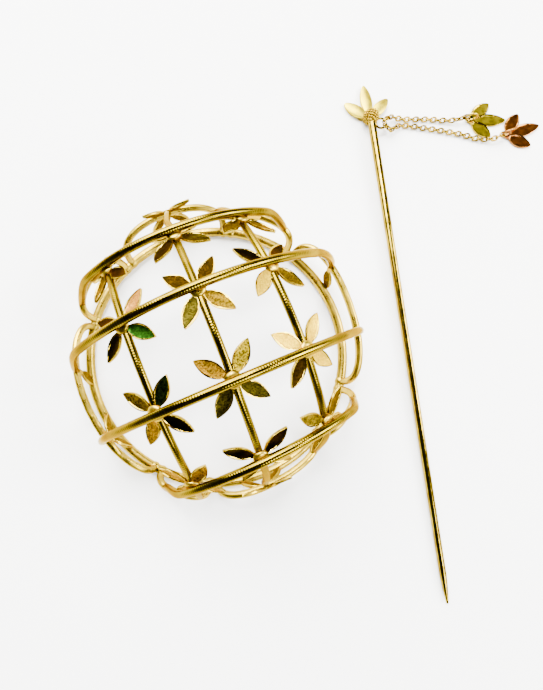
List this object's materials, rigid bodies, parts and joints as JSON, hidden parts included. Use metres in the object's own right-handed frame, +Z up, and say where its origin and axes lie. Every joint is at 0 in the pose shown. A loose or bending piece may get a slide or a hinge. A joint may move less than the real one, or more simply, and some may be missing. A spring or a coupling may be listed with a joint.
{
  "type": "bun cage with hair stick",
  "caption": "Domed wire cage for a hair bun, with leaf sprigs at its crossings, and the chained hair stick that pins it on.",
  "frame": {"origin": "middle of the whole layout's box in plan, on the surface that everything rests on", "axes": "+Z up, +X along the cage's long wires towards the stick, +Y along its cross wires towards the stick's head"},
  "size_m": [0.173, 0.1624, 0.0466],
  "materials": {
    "cage_gold": "polished gold plate",
    "stick_gold": "polished gold plate",
    "chain_gold": "polished gold plate",
    "yellow_gold": "satin gold plate",
    "copper_gold": "satin gold plate"
  },
  "bodies": {
    "root": {"base_rim": "cage_gold", "long_wire_1": "cage_gold", "long_wire_2": "cage_gold", "long_wire_3": "cage_gold", "long_wire_4": "cage_gold", "cross_wire_1": "cage_gold", "cross_wire_2": "cage_gold", "cross_wire_3": "cage_gold", "hair_stick": "stick_gold", "short_chain": "chain_gold", "long_chain": "chain_gold", "short_chain_charm": "yellow_gold", "long_chain_charm": "copper_gold"}
  },
  "joints": []
}
